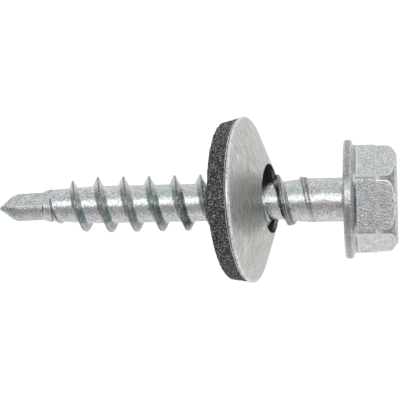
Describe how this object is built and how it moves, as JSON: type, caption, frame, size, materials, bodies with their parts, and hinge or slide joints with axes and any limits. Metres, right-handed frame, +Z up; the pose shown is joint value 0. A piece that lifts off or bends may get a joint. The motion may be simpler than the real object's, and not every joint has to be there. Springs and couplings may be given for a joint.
{
  "type": "self drilling screw",
  "caption": "Hexagon flange head roofing screw with a pinched drill point, a coarse rolled thread and a loose bonded sealing washer.",
  "frame": {"origin": "on the floor under the middle of the screw and washer as they lie at rest", "axes": "+Z up, +X along the floor from the drill point to the head, one hexagon flat down; the screw's axis slopes down to the head by 15.5 degrees"},
  "size_m": [0.0332, 0.014, 0.014],
  "materials": {
    "zinc_steel": "bright zinc plating over rolled and headed steel, finely pitted",
    "washer_metal": "satin sheet with fine brush lines and a raw cut rim",
    "seal_rubber": "matt EPDM with fine pale grains"
  },
  "bodies": {
    "screw": {"screw": "zinc_steel"},
    "washer": {"washer_cup": "washer_metal", "washer_seal": "seal_rubber"}
  },
  "joints": [
    {"name": "washer_slide", "type": "slide", "parent": "screw", "child": "washer", "axis": [0.9635, 0, -0.2676], "range_m": [-0.012, 0.0055]}
  ]
}
